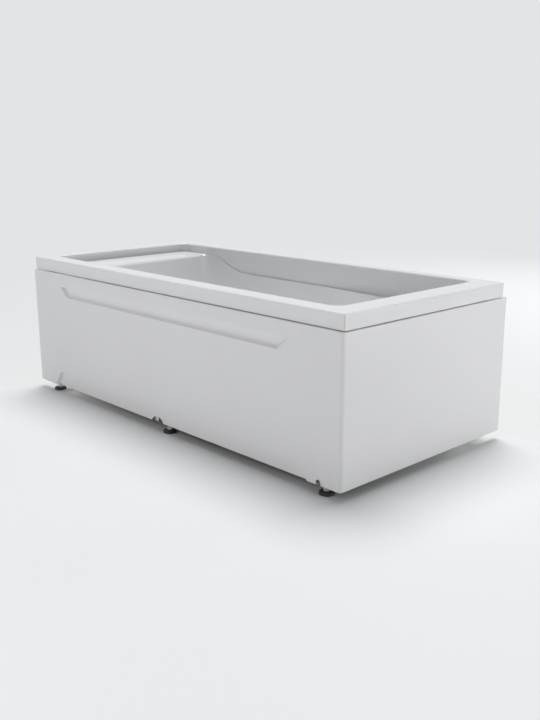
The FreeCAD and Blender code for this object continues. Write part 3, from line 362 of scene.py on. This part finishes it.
def threaded_rod(bm, x, y, z0, z1, radius, pitch):
    """Plain core with a helical ridge round it, as a metric thread, in mm."""
    depth = 0.61 * pitch
    root = radius - depth
    # the ridge's foot is sunk into the core by this much
    sunk = 0.1
    chamfer = 1.0
    steps_per_turn = 14
    turns = int((z1 - z0) / pitch) - 1
    profile = ((root - sunk, 0.0), (radius, 0.44 * pitch),
               (radius, 0.56 * pitch), (root - sunk, 0.99 * pitch))
    corners = [bm.verts.new(Vector((x + reach, y, z0 + rise)) * MM) for reach, rise in profile]
    start = bm.faces.new(corners)
    before = set(bm.faces) - {start}
    bmesh.ops.spin(bm, geom=[start], cent=Vector((x, y, 0)) * MM, axis=(0, 0, 1),
                   dvec=(0, 0, pitch * MM / steps_per_turn), angle=math.tau * turns,
                   steps=turns * steps_per_turn)
    bmesh.ops.recalc_face_normals(bm, faces=[face for face in bm.faces if face not in before])
    core = [(0, z0), (root, z0), (root, z1 - chamfer), (root - chamfer, z1), (0, z1)]
    lathe(bm, core, (x, y, 0), (0, 0, 1), 20)


def weld_bead(bm, start, end, radius):
    """Rippled bead of weld metal between two points, in mm."""
    # shares of the radius: the bead's ends, its ripples' crests and troughs, and their spacing
    tip, crest, trough, spacing = 0.55, 1.0, 0.84, 0.9
    run = Vector(end) - Vector(start)
    count = max(3, round(run.length / (radius * spacing)))
    turn = Vector((0, 0, 1)).rotation_difference(run).to_matrix().to_4x4()
    loops = []
    for step in range(count + 1):
        at_end = step in (0, count)
        swell = tip if at_end else (crest if step % 2 else trough)
        place = Matrix.Translation((Vector(start) + run * step / count) * MM) @ turn
        ring = bmesh.ops.create_circle(bm, cap_ends=at_end, segments=8,
                                       radius=radius * swell * MM, matrix=place)["verts"]
        loops.append({edge for vert in ring for edge in vert.link_edges
                      if all(corner in ring for corner in edge.verts)})
    for low, high in zip(loops, loops[1:]):
        bmesh.ops.bridge_loops(bm, edges=list(low | high))


# ---- pieces ------------------------------------------------------------------
def node_box(node):
    """Lowest and highest corner of a CAD node, in mm."""
    low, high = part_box(node)
    return low / MM, high / MM


def foot_place(column, row):
    """Centre of a foot on the floor, in mm."""
    low, high = node_box("foot_pad_" + column + "_" + row)
    return (low[0] + high[0]) / 2, (low[1] + high[1]) / 2


def nut_across_flats():
    """Width of the lock nuts between two flats, in mm."""
    return 2 * (node_box("lock_nuts")[1][1] - foot_place("left", "back")[1])


class BATH_OT_shell(bpy.types.Operator):
    """Bath moulding: gloss acrylic in sight, glass-fibre backing underneath"""
    bl_idname = "bath.shell"
    bl_label = "Bath shell"

    def execute(self, context):
        low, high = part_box("tub_shell")
        bm = joined_copy("tub_shell")
        bm.normal_update()
        skirt = 0.5 * MM
        least_upward = 0.01
        for face in bm.faces:
            centre = face.calc_center_median()
            outside = (centre.x > high[0] - skirt or centre.x < low[0] + skirt
                       or centre.y < low[1] + skirt or centre.y > high[1] - skirt)
            face.material_index = 0 if face.normal.z > least_upward or outside else 1
        add_piece("bath_shell", bm, [bath_acrylic, glass_fibre], "bath",
                  ["tub_shell"])
        return {"FINISHED"}


class BATH_OT_panels(bpy.types.Operator):
    """Front panel with softened mould edges, and the end panel"""
    bl_idname = "bath.panels"
    bl_label = "Panels"

    def execute(self, context):
        eased_node("front_panel", context.scene.bath_sizes.panel_edge / MM, LEAST_PANEL_EDGE,
                   panel_acrylic, "bath", FINE_EDGE)
        dress(["end_panel"], panel_acrylic)
        return {"FINISHED"}


class BATH_OT_frame(bpy.types.Operator):
    """Powder-coated tubes with rolled corners, tabs, stays and the base board"""
    bl_idname = "bath.frame"
    bl_label = "Frame"

    def execute(self, context):
        sizes = context.scene.bath_sizes
        for node in TUBES:
            eased_node(node, sizes.tube_corner / MM, LEAST_TUBE_EDGE, powder_coat, "bath",
                       FINE_EDGE)
        for node in ("panel_tabs", "end_stays"):
            eased_node(node, sizes.strip_edge / MM, LEAST_STRIP_EDGE, powder_coat, "bath")
        eased_node("base_board", sizes.board_edge / MM, LEAST_BOARD_EDGE, chipboard, "bath")
        return {"FINISHED"}


class BATH_OT_welds(bpy.types.Operator):
    """Rippled weld beads where the frame's tubes meet"""
    bl_idname = "bath.welds"
    bl_label = "Weld beads"

    def execute(self, context):
        bm = bmesh.new()
        for start, end in self.post_seams() + self.rail_seams() + self.tab_seams():
            weld_bead(bm, start, end, context.scene.bath_sizes.weld_radius / MM)
        add_piece("frame_welds", bm, [powder_coat], "bath", sharp_degrees=60.0)
        return {"FINISHED"}

    def post_seams(self):
        """Seams round each post: at the rim rail above, the cross bar and side rails below."""
        bar_low, bar_high = node_box("frame_cross_bars")
        side_low, side_high = node_box("frame_side_rails")
        top = node_box("frame_posts")[1][2]
        seams = []
        for column, row in FEET:
            x, y = foot_place(column, row)
            left, right, near, far = x - POST_HALF, x + POST_HALF, y - POST_HALF, y + POST_HALF
            inner = far if row == "front" else near
            side_top = side_low[2] + POST_SIZE if row == "front" else side_high[2]
            seams.append(((left, inner, bar_high[2]), (right, inner, bar_high[2])))
            for side in (left, right):
                seams.append(((side, inner, bar_low[2]), (side, inner, bar_high[2])))
                seams.append(((side, near, top), (side, far, top)))
                if side_low[0] - 1 < side < side_high[0] + 1:
                    seams.append(((side, near, side_top), (side, far, side_top)))
        return seams

    def rail_seams(self):
        """Seams of the long rails on the cross bars, and of the end rails on the rim rails."""
        long_low, long_high = node_box("frame_long_rails")
        rim_low, rim_high = node_box("rim_rails")
        seams = []
        for column in ("left", "middle", "right"):
            x = foot_place(column, "front")[0]
            left, right = x - BAR_SIZE / 2, x + BAR_SIZE / 2
            for y in (long_low[1], long_low[1] + BAR_SIZE, long_high[1] - BAR_SIZE, long_high[1]):
                seams.append(((left, y, long_low[2]), (right, y, long_low[2])))
        for ends in ((rim_low[0], rim_low[0] + POST_SIZE), (rim_high[0] - POST_SIZE, rim_high[0])):
            for y in (rim_low[1] + POST_SIZE, rim_high[1] - POST_SIZE):
                seams.append(((ends[0], y, rim_low[2]), (ends[1], y, rim_low[2])))
                seams += [((x, y, rim_low[2]), (x, y, rim_high[2])) for x in ends]
        return seams

    def tab_seams(self):
        """Seams under the panel tabs, and of the end stays on the last cross bar."""
        tab_bottom = node_box("panel_tabs")[0][2]
        stay_low, stay_high = node_box("end_stays")
        end_face = foot_place("right", "front")[0] + POST_HALF
        seams = []
        for column, row in FEET:
            x, y = foot_place(column, row)
            left, right, near, far = x - POST_HALF, x + POST_HALF, y - POST_HALF, y + POST_HALF
            if row == "front":
                seams.append(((left, near, tab_bottom), (right, near, tab_bottom)))
            if column == "right":
                seams.append(((end_face, near, tab_bottom), (end_face, far, tab_bottom)))
        for y in (stay_low[1], stay_high[1] - POST_SIZE):
            seams.append(((stay_low[0], y, stay_high[2]),
                          (stay_low[0], y + POST_SIZE, stay_high[2])))
        return seams


class BATH_OT_fixings(bpy.types.Operator):
    """Zinc-plated brackets, socket-head panel screws, lock nuts and the plugs in the posts"""
    bl_idname = "bath.fixings"
    bl_label = "Brackets and fixings"

    def execute(self, context):
        eased_node("panel_brackets", context.scene.bath_sizes.strip_edge / MM, LEAST_STRIP_EDGE,
                   zinc, "bath")
        self.screws()
        low, high = node_box("lock_nuts")
        bm = bmesh.new()
        for column, row in FEET:
            x, y = foot_place(column, row)
            hex_nut(bm, x, y, low[2], high[2], nut_across_flats(), ROD_RADIUS + ROD_CLEARANCE)
        add_piece("lock_nuts_chamfered", bm, [zinc], "bath", ["lock_nuts"],
                  sharp_degrees=20.0)
        dress(["foot_inserts"], insert_nylon)
        return {"FINISHED"}

    def screws(self):
        """Round heads with a hexagon socket."""
        # radius, and distance behind the front: shank, then the head's back, side and front
        outline = [(0.0, 8.5), (3.0, 8.5), (3.0, 4.0), (SCREW_HEAD_RADIUS, 4.0),
                   (SCREW_HEAD_RADIUS, 2.4), (5.4, 1.2), (4.2, 0.4), (3.4, 0.0)]
        low, high = node_box("panel_screws")
        height = (low[2] + high[2]) / 2
        bm = bmesh.new()
        for x in (low[0] + SCREW_HEAD_RADIUS, high[0] - SCREW_HEAD_RADIUS):
            lathe(bm, outline, (x, low[1], height), (0, 1, 0), 36)
            self.socket(bm, x, low[1], height)
        add_piece("panel_screws_socket_head", bm, [zinc], "bath", ["panel_screws"])

    def socket(self, bm, x, y, z):
        """Hexagon recess that closes the head's front."""
        front_radius, socket_radius, socket_depth = 3.4, 2.2, 2.4
        face_turn = Matrix.Rotation(math.radians(90), 4, "X")
        front = Matrix.Translation(Vector((x, y, z)) * MM) @ face_turn
        back = Matrix.Translation(Vector((x, y + socket_depth, z)) * MM) @ face_turn
        rim, mouth, floor = (
            bmesh.ops.create_circle(bm, cap_ends=closed, segments=sides, radius=radius * MM,
                                    matrix=place)["verts"]
            for closed, sides, radius, place in ((False, 36, front_radius, front),
                                                 (False, 6, socket_radius, front),
                                                 (True, 6, socket_radius, back)))
        for pair in ((rim, mouth), (mouth, floor)):
            both = set(pair[0]) | set(pair[1])
            loop = [edge for edge in bm.edges if edge.verts[0] in both and edge.verts[1] in both]
            bmesh.ops.bridge_loops(bm, edges=loop)
        bmesh.ops.recalc_face_normals(bm, faces=bm.faces)


class BATH_OT_feet(bpy.types.Operator):
    """Threaded rods with turned-off hexagons, on ribbed rubber pads"""
    bl_idname = "bath.feet"
    bl_label = "Screw feet"

    def execute(self, context):
        sizes = context.scene.bath_sizes
        for column, row in FEET:
            x, y = foot_place(column, row)
            body = "foot_" + column + "_" + row
            bolt = "foot_bolt_" + column + "_" + row
            low, high = node_box(bolt)
            pad = "foot_pad_" + column + "_" + row
            pad_top = node_box(pad)[1][2]
            bm = bmesh.new()
            threaded_rod(bm, x, y, low[2], high[2], ROD_RADIUS, sizes.thread_pitch / MM)
            hex_nut(bm, x, y, pad_top, pad_top + NUT_HEIGHT, nut_across_flats(), 0)
            add_piece(bolt + "_threaded", bm, [zinc], body, [bolt],
                      sharp_degrees=20.0)
            self.pad(x, y, body, pad, sizes.pad_ribs)
        return {"FINISHED"}

    def pad(self, x, y, body, node, ribs):
        """Rubber pad: grip rings below, ribs round its side, seat and socket for the rod."""
        # radius and height in mm: two grip rings below, the side, and the seat with its socket
        under = [(0.0, 0.0), (8.0, 0.0), (8.6, 1.0), (10.4, 1.0), (11.0, 0.0), (14.0, 0.0),
                 (14.6, 1.0), (16.4, 1.0), (17.0, 0.0), (22.8, 0.0), (23.6, 0.4)]
        side = [(24.0, 1.4), (24.0, 6.6), (23.2, 8.4), (21.4, 9.6)]
        top = [(18.0, 10.2), (13.6, 10.5), (12.8, 11.0), (6.2, 11.0), (6.2, 7.0), (0.0, 7.0)]
        ribbed_beyond, rib_depth = 23.9, 0.6
        bm = bmesh.new()
        lathe(bm, under + side + top, (x, y, 0), (0, 0, 1), 2 * ribs)
        centre = Vector((x, y, 0)) * MM
        rib_turn = math.tau / ribs
        for vert in bm.verts:
            spoke = vert.co - centre
            reach = spoke.xy.length
            between = round(math.atan2(spoke.y, spoke.x) / rib_turn * 2) % 2 == 1
            if between and reach > ribbed_beyond * MM:
                vert.co.xy = centre.xy + spoke.xy * (1 - rib_depth * MM / reach)
        add_piece(node + "_ribbed", bm, [moulded_rubber], body, [node])


class BATH_OT_waste(bpy.types.Operator):
    """Chrome waste, plug and overflow, with the moulded drain parts behind them"""
    bl_idname = "bath.waste"
    bl_label = "Waste and overflow"

    def execute(self, context):
        edge = context.scene.bath_sizes.chrome_edge / MM
        for node, width, body in (("waste_flange", edge, "bath"),
                                  ("overflow_plate", edge, "bath"),
                                  ("overflow_knob", 2 * edge, "knob")):
            eased_node(node, width, LEAST_FITTING_EDGE, chrome, body, FINE_EDGE)
        self.plug_cap()
        dress(["waste_gasket", "overflow_seal", "overflow_gasket", "plug_seal"], moulded_rubber)
        for node in ("waste_body", "overflow_elbow", "trap"):
            eased_node(node, edge, LEAST_FITTING_EDGE, drain_plastic, "bath")
        dress(["overflow_pipe"], drain_plastic)
        self.ribbed_nut(context.scene.bath_sizes.nut_ribs)
        return {"FINISHED"}

    def plug_cap(self):
        """Domed cap on its stem."""
        cap_height = 5.0
        low, high = node_box("plug")
        centre = ((low[0] + high[0]) / 2, (low[1] + high[1]) / 2, 0)
        under = high[2] - cap_height
        stem = [(0.0, low[2]), (3.2, low[2]), (4.0, low[2] + 0.8), (4.0, under)]
        dome = [(29.4, under), (30.0, under + 0.6), (30.0, under + 1.5), (29.4, under + 2.7),
                (27.6, under + 3.7), (24.0, under + 4.4), (16.0, under + 4.85), (0.0, high[2])]
        bm = bmesh.new()
        lathe(bm, stem + dome, centre, (0, 0, 1), 96)
        add_piece("plug_domed", bm, [chrome], "plug", ["plug"])

    def ribbed_nut(self, ribs):
        """Union nut with grip ribs."""
        bore, bottom_chamfer, top_chamfer, rib_depth = 30.0, 1.2, 1.6, 1.0
        low, high = node_box("trap_nut")
        centre = Vector(((low[0] + high[0]) / 2, (low[1] + high[1]) / 2, 0))
        outer = (high[0] - low[0]) / 2
        outline = [(bore, low[2]), (outer - bottom_chamfer, low[2]),
                   (outer, low[2] + bottom_chamfer), (outer, high[2] - top_chamfer),
                   (outer - top_chamfer, high[2]), (bore, high[2]), (bore, low[2])]
        bm = bmesh.new()
        lathe(bm, outline, centre, (0, 0, 1), 4 * ribs)
        rib_turn = math.tau / ribs
        for vert in bm.verts:
            spoke = vert.co / MM - centre
            reach = spoke.xy.length
            quarter = round(math.atan2(spoke.y, spoke.x) / rib_turn * 4) % 4
            if quarter in (1, 2) and reach > outer - 0.1:
                vert.co.xy = (centre.xy + spoke.xy * ((reach - rib_depth) / reach)) * MM
        add_piece("trap_nut_ribbed", bm, [drain_plastic], "bath", ["trap_nut"])


# ---- stage -------------------------------------------------------------------
def seen_or_mirrored(tree):
    """1 where the camera sees the surface straight, in gloss or through glass, otherwise 0."""
    path = add_node(tree, "ShaderNodeLightPath")
    mirrored = add_node(tree, "ShaderNodeMath",
                        {0: path.outputs["Is Glossy Ray"],
                         1: path.outputs["Is Transmission Ray"]}, operation="MAXIMUM")
    either = add_node(tree, "ShaderNodeMath",
                      {0: path.outputs["Is Camera Ray"],
                       1: mirrored.outputs["Value"]}, operation="MAXIMUM")
    return either.outputs["Value"]


def make_floor(colours):
    """Seamless pale floor; far off, it takes the backdrop's tone where the camera sees it."""
    fade_start, fade_end, half_size = 1.8, 6.0, 60.0
    material, tree, shader, place = new_material("seamless paper, pale matt", Roughness=0.7)
    cloud = add_node(tree, "ShaderNodeTexNoise",
                     {"Vector": place, "Scale": per_metre(1500), "Detail": 2.0, "Roughness": 0.5})
    cover(tree, shader, cloud.outputs["Fac"], colours.floor, 0.985)
    far = add_node(tree, "ShaderNodeVectorMath", {0: place}, operation="LENGTH")
    fade = add_node(tree, "ShaderNodeMapRange",
                    {"Value": far.outputs["Value"], "From Min": fade_start, "From Max": fade_end},
                    interpolation_type="SMOOTHSTEP")
    seen = add_node(tree, "ShaderNodeMath",
                    {0: fade.outputs["Result"], 1: seen_or_mirrored(tree)}, operation="MULTIPLY")
    glow = add_node(tree, "ShaderNodeEmission",
                    {"Color": (*colours.backdrop, 1.0), "Strength": 1.0})
    mix = add_node(tree, "ShaderNodeMixShader",
                   {0: seen.outputs["Value"], 1: shader.outputs["BSDF"],
                    2: glow.outputs["Emission"]})
    output = [node for node in tree.nodes if node.bl_idname == "ShaderNodeOutputMaterial"][0]
    tree.links.new(mix.outputs["Shader"], output.inputs["Surface"])
    bm = bmesh.new()
    bmesh.ops.create_grid(bm, x_segments=8, y_segments=8, size=half_size)
    mesh = bpy.data.meshes.new("floor")
    bm.to_mesh(mesh)
    bm.free()
    mesh.materials.append(material)
    floor = bpy.data.objects.new("floor", mesh)
    bpy.context.scene.collection.objects.link(floor)


def make_world(colours):
    """Soft even light from all round, with the backdrop's tone where the camera sees it."""
    soft_strength = 0.17
    world = bpy.data.worlds.new("studio")
    bpy.context.scene.world = world
    world.use_nodes = True
    tree = world.node_tree
    tree.nodes.clear()
    soft = add_node(tree, "ShaderNodeBackground",
                    {"Color": (1.0, 1.0, 1.0, 1.0), "Strength": soft_strength})
    backdrop = add_node(tree, "ShaderNodeBackground",
                        {"Color": (*colours.backdrop, 1.0), "Strength": 1.0})
    mix = add_node(tree, "ShaderNodeMixShader",
                   {0: seen_or_mirrored(tree), 1: soft.outputs[0], 2: backdrop.outputs[0]})
    add_node(tree, "ShaderNodeOutputWorld", {"Surface": mix.outputs[0]})


def make_overhead(towards_light, strength, spread_degrees):
    """Broad soft light from above, as from a diffuser over the set."""
    lamp = bpy.data.lights.new("overhead diffuser", "SUN")
    lamp.energy = strength
    lamp.angle = math.radians(spread_degrees)
    holder = bpy.data.objects.new("overhead diffuser", lamp)
    holder.rotation_euler = Vector(towards_light).to_track_quat("Z", "Y").to_euler()
    bpy.context.scene.collection.objects.link(holder)


def make_softbox(name, place, target, width, height, watts, mirrored):
    """Rectangular studio box, in metres, aimed at a point; gloss shows it only where asked."""
    lamp = bpy.data.lights.new(name, "AREA")
    lamp.shape = "RECTANGLE"
    lamp.size = width
    lamp.size_y = height
    lamp.energy = watts
    holder = bpy.data.objects.new(name, lamp)
    holder.location = place
    holder.rotation_euler = (Vector(place) - Vector(target)).to_track_quat("Z", "Y").to_euler()
    holder.visible_glossy = mirrored
    bpy.context.scene.collection.objects.link(holder)


def make_camera():
    """Camera fitted to the edges of the bath in the photograph."""
    yaw, pitch, roll = (math.radians(angle) for angle in (46.926, -14.193, -0.170))
    place = (2.3510, -2.0732, 0.9861)
    focal_px = 852.1
    picture_height_px = 720
    forward = Vector((-math.sin(yaw) * math.cos(pitch), math.cos(yaw) * math.cos(pitch),
                      math.sin(pitch)))
    level = Vector((math.cos(yaw), math.sin(yaw), 0))
    right = math.cos(roll) * level + math.sin(roll) * level.cross(forward)
    up = right.cross(forward)
    camera = bpy.data.cameras.new("camera")
    camera.sensor_fit = "VERTICAL"
    camera.sensor_height = 24.0
    camera.lens = focal_px * camera.sensor_height / picture_height_px
    holder = bpy.data.objects.new("camera", camera)
    turn = Matrix((right, up, -forward)).transposed().to_4x4()
    holder.matrix_world = Matrix.Translation(place) @ turn
    bpy.context.scene.collection.objects.link(holder)
    bpy.context.scene.camera = holder


class BATH_OT_stage(bpy.types.Operator):
    """Pale floor, soft lights and the camera"""
    bl_idname = "bath.stage"
    bl_label = "Stage"

    def execute(self, context):
        colours = context.scene.bath_colours
        make_floor(colours)
        make_world(colours)
        make_overhead(towards_light=(-0.22, 0.24, 0.95), strength=2.25, spread_degrees=36.0)
        for softbox in SOFTBOXES:
            make_softbox(*softbox)
        make_camera()
        context.scene.view_settings.view_transform = "Standard"
        return {"FINISHED"}


# ---- settings, panel, registration -------------------------------------------
def colour_property(name, description, hex_colour):
    """Colour setting with an sRGB default."""
    return FloatVectorProperty(name=name, description=description, default=linear(hex_colour),
                               subtype="COLOR", min=0.0, max=1.0, size=3)


def length_property(name, description, millimetres):
    """Length setting with its default in mm."""
    return FloatProperty(name=name, description=description, default=millimetres * MM,
                         subtype="DISTANCE", unit="LENGTH", min=0.0)


class BathColours(bpy.types.PropertyGroup):
    """Colours of the finishes and the stage"""
    acrylic: colour_property("Acrylic", "Colour of the bath moulding", "#EBECEE")
    panel: colour_property("Panels", "Colour of the front and end panels", "#E9E9EA")
    backing: colour_property("Backing", "Colour of the glass-fibre backing", "#E6E2D3")
    frame: colour_property("Frame", "Colour of the powder coat", "#969A9D")
    zinc: colour_property("Zinc", "Colour of the plated fixings", "#D8DBDE")
    rubber: colour_property("Rubber", "Colour of pads and seals", "#323233")
    insert: colour_property("Inserts", "Colour of the plastic plugs in the posts", "#232324")
    board: colour_property("Board", "Colour of the lightest wood flakes", "#CDB187")
    chrome: colour_property("Chrome", "Colour of the chrome", "#E4E6E7")
    drain: colour_property("Drain parts", "Colour of trap and pipes", "#E8E9E7")
    floor: colour_property("Floor", "Colour of the floor", "#E8E9EA")
    backdrop: colour_property("Backdrop", "Tone behind the bath", "#E2E4E6")


class BathSizes(bpy.types.PropertyGroup):
    """Sizes of the fine forms"""
    panel_edge: length_property("Panel edge", "Edge rounding of the front panel's recesses", 1.2)
    tube_corner: length_property("Tube corner", "Corner radius of the frame's tubes", 1.8)
    strip_edge: length_property("Strip edge", "Edge rounding of bent strips", 0.5)
    board_edge: length_property("Board edge", "Edge rounding of the base board", 0.8)
    chrome_edge: length_property("Fitting edge", "Edge rounding of waste and overflow parts", 0.4)
    weld_radius: length_property("Weld bead", "Radius of a weld bead", 1.9)
    thread_pitch: length_property("Thread pitch", "Pitch of the screw feet", 1.75)
    pad_ribs: IntProperty(name="Pad ribs", description="Ribs round each rubber pad",
                          default=36, min=8, max=90)
    nut_ribs: IntProperty(name="Nut ribs", description="Grip ribs of the trap's union nut",
                          default=24, min=6, max=60)


class BATH_PT_finisher(bpy.types.Panel):
    """Sidebar panel that lists the pieces and their settings"""
    bl_idname = "BATH_PT_finisher"
    bl_label = "Bath"
    bl_space_type = "VIEW_3D"
    bl_region_type = "UI"
    bl_category = "Bath"

    def draw(self, context):
        column = self.layout.column(align=True)
        for operator in OPERATORS:
            column.operator(operator.bl_idname)
        for group in (context.scene.bath_sizes, context.scene.bath_colours):
            box = self.layout.box()
            for name in group.__annotations__:
                box.prop(group, name)


OPERATORS = (BATH_OT_shell, BATH_OT_panels, BATH_OT_frame, BATH_OT_welds, BATH_OT_fixings,
             BATH_OT_feet, BATH_OT_waste, BATH_OT_stage)
CLASSES = (BathColours, BathSizes, *OPERATORS, BATH_PT_finisher)


def register():
    for cls in CLASSES:
        bpy.utils.register_class(cls)
    bpy.types.Scene.bath_colours = PointerProperty(type=BathColours)
    bpy.types.Scene.bath_sizes = PointerProperty(type=BathSizes)


def unregister():
    del bpy.types.Scene.bath_sizes
    del bpy.types.Scene.bath_colours
    for cls in reversed(CLASSES):
        bpy.utils.unregister_class(cls)


def main():
    register()
    bpy.ops.bath.shell()
    bpy.ops.bath.panels()
    bpy.ops.bath.frame()
    bpy.ops.bath.welds()
    bpy.ops.bath.fixings()
    bpy.ops.bath.feet()
    bpy.ops.bath.waste()
    bpy.ops.bath.stage()


if __name__ == "__main__":
    main()
